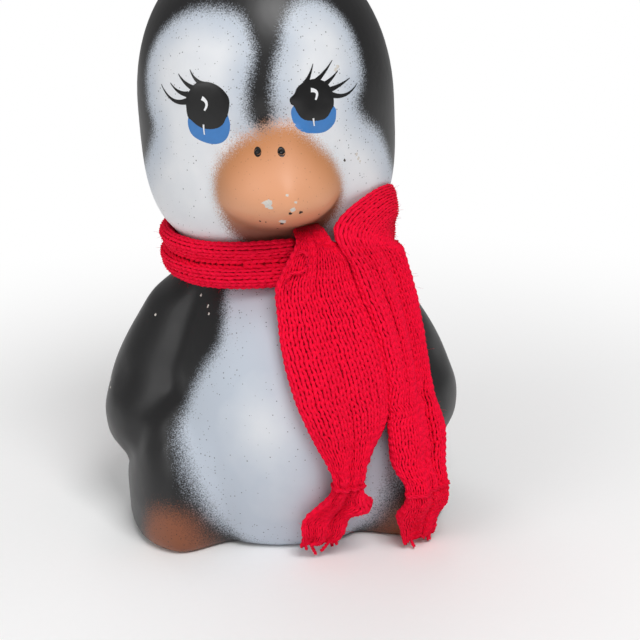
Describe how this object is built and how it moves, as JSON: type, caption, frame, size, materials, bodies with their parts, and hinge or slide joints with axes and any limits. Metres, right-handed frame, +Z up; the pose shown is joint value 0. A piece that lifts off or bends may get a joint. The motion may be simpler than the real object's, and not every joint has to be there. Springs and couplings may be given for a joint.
{
  "type": "penguin figurine",
  "caption": "Hollow cast penguin figurine with an airbrushed black, white and orange finish, wearing a red knitted scarf with two hanging ends; stands on its flat base.",
  "frame": {"origin": "centre of the flat base, on the face that it stands on", "axes": "+Z up, the penguin faces -Y, +X is the right of a viewer in front of it"},
  "size_m": [0.1028, 0.0927, 0.162],
  "materials": {
    "painted_ceramic": "airbrushed, satin",
    "knit": "knitted wool",
    "yarn": "twisted wool yarn"
  },
  "bodies": {
    "figurine": {"ceramic_casting": "painted_ceramic", "scarf_neck_band": "knit"},
    "front_tail": {"scarf_front_tail": "knit", "front_tail_tie": "yarn"},
    "side_tail": {"scarf_side_tail": "knit", "side_tail_tie": "yarn", "loose_yarn_end": "yarn"}
  },
  "joints": [
    {"name": "front_tail_lift", "type": "hinge", "parent": "figurine", "child": "front_tail", "pos_m": [0.00589, -0.03428, 0.0876], "axis": [-0.9856, -0.1693, 0], "range_deg": [0, 55]},
    {"name": "side_tail_lift", "type": "hinge", "parent": "figurine", "child": "side_tail", "pos_m": [0.02609, -0.02476, 0.0906], "axis": [-0.6884, -0.7254, 0], "range_deg": [0, 45]}
  ]
}
